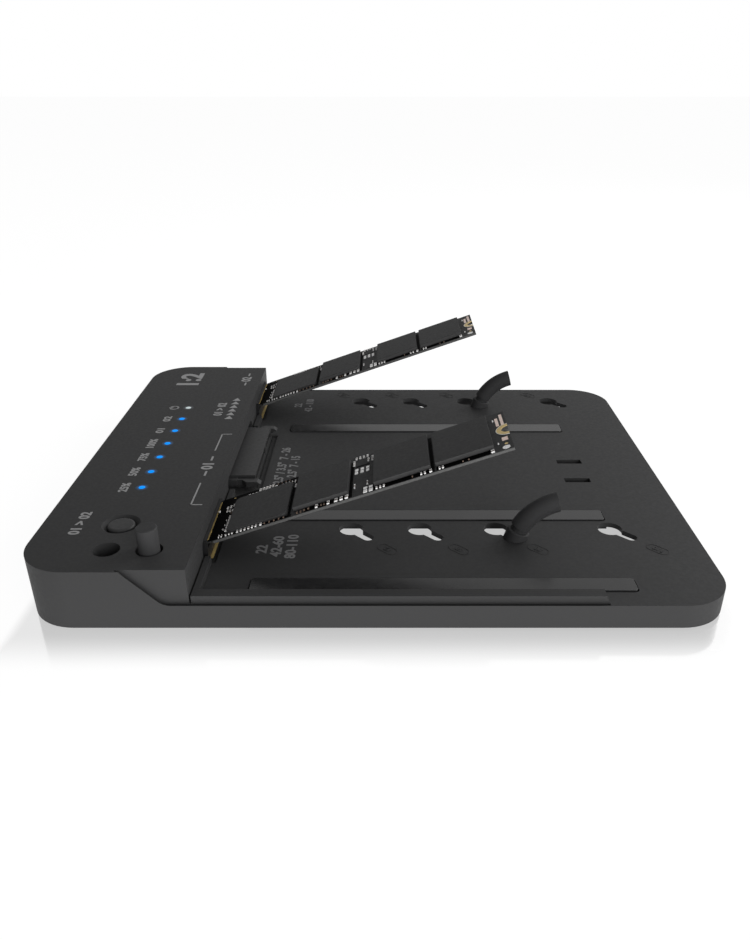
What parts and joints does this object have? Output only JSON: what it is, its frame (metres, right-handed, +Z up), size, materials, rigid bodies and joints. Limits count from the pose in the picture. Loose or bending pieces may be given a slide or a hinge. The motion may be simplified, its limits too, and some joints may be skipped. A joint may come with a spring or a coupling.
{
  "type": "drive duplicator",
  "caption": "Flat tray with a raised control head, two sockets holding tilted storage cards, a drive connector, keyhole rows with rubber retainers and a push button.",
  "frame": {"origin": "centre of the footprint on the surface the feet stand on", "axes": "+X along the tray, away from the control head; +Y from the front edge to the back edge; +Z up"},
  "size_m": [0.1642, 0.1402, 0.0375],
  "materials": {
    "shell_black": "fine grained charcoal moulding",
    "cover_black": "fine grained",
    "foot_rubber": "soft matt",
    "screw_steel": "dark zinc",
    "board_green": "solder mask",
    "chip_black": "moulded package",
    "coil_grey": "ferrite",
    "capacitor_case": "drawn can",
    "crystal_case": "can",
    "port_metal": "pressed shell",
    "tongue_black": "moulded",
    "inlet_black": "moulded",
    "pin_metal": "plated",
    "knob_black": "moulded",
    "pipe_blue": "clear blue light pipe",
    "pipe_white": "milky light pipe",
    "emitter_white": "lamp body",
    "button_black": "satin cap",
    "socket_black": "moulded",
    "contact_gold": "gold plating",
    "connector_black": "moulded",
    "strip_black": "semi-gloss inlay",
    "retainer_rubber": "soft matt rubber",
    "card_black": "black solder mask",
    "memory_black": "moulded package",
    "controller_metal": "dark lid",
    "part_silver": "tinned ends"
  },
  "bodies": {
    "housing": {"top_shell": "shell_black", "bottom_cover": "cover_black", "foot_front_left": "foot_rubber", "foot_rear_left": "foot_rubber", "foot_front_right": "foot_rubber", "foot_rear_right": "foot_rubber", "cover_screws": "screw_steel", "board_screws": "screw_steel", "main_board": "board_green", "controller_chip": "chip_black", "bridge_chips": "chip_black", "board_capacitors": "capacitor_case", "power_inductors": "coil_grey", "board_regulators": "chip_black", "board_crystals": "crystal_case", "data_port_shell": "port_metal", "data_port_tongue": "tongue_black", "power_inlet": "inlet_black", "power_inlet_pin": "pin_metal", "power_switch_body": "inlet_black", "progress_light_pipes": "pipe_blue", "power_light_pipe": "pipe_white", "light_emitters": "emitter_white", "button_switch": "chip_black", "card_socket_front": "socket_black", "socket_contacts_front": "contact_gold", "card_socket_rear": "socket_black", "socket_contacts_rear": "contact_gold", "drive_connector": "connector_black", "drive_contacts": "contact_gold", "support_strip_front": "strip_black", "support_strip_middle": "strip_black", "support_strip_rear": "strip_black"},
    "button": {"clone_button": "button_black", "switch_plunger": "knob_black"},
    "power_knob": {"power_switch_knob": "knob_black"},
    "front_card": {"card_board_front": "card_black", "card_controller_front": "controller_metal", "card_memory_front": "memory_black", "card_parts_front": "part_silver", "card_contacts_front": "contact_gold"},
    "rear_card": {"card_board_rear": "card_black", "card_controller_rear": "controller_metal", "card_memory_rear": "memory_black", "card_parts_rear": "part_silver", "card_contacts_rear": "contact_gold"},
    "front_retainer": {"card_retainer_front": "retainer_rubber"},
    "rear_retainer": {"card_retainer_rear": "retainer_rubber"},
    "spare": {"spare_retainer": "retainer_rubber"}
  },
  "joints": [
    {"name": "clone_button_press", "type": "slide", "parent": "housing", "child": "button", "axis": [0, 0, -1], "range_m": [0, 0.0009], "stiffness_N_per_m": 900, "springref_m": -0.0004},
    {"name": "power_switch_slide", "type": "slide", "parent": "housing", "child": "power_knob", "axis": [0, 1, 0], "range_m": [0, 0.0034]},
    {"name": "front_card_tilt", "type": "hinge", "parent": "housing", "child": "front_card", "pos_m": [-0.04413, -0.0393, 0.01029], "axis": [0, 1, 0], "range_deg": [0, 12], "stiffness_Nm_per_rad": 0.02, "springref_deg": -20.05},
    {"name": "rear_card_tilt", "type": "hinge", "parent": "housing", "child": "rear_card", "pos_m": [-0.04413, 0.05275, 0.01029], "axis": [0, 1, 0], "range_deg": [0, 12], "stiffness_Nm_per_rad": 0.02, "springref_deg": -20.05},
    {"name": "front_retainer_slide", "type": "slide", "parent": "housing", "child": "front_retainer", "axis": [-0.7071, 0.7071, 0], "range_m": [0, 0.0063]},
    {"name": "rear_retainer_slide", "type": "slide", "parent": "housing", "child": "rear_retainer", "axis": [-0.7071, 0.7071, 0], "range_m": [0, 0.0063]},
    {"name": "spare_retainer_lift", "type": "slide", "parent": "housing", "child": "spare", "axis": [0, 0, 1], "range_m": [0, 0.008]}
  ]
}
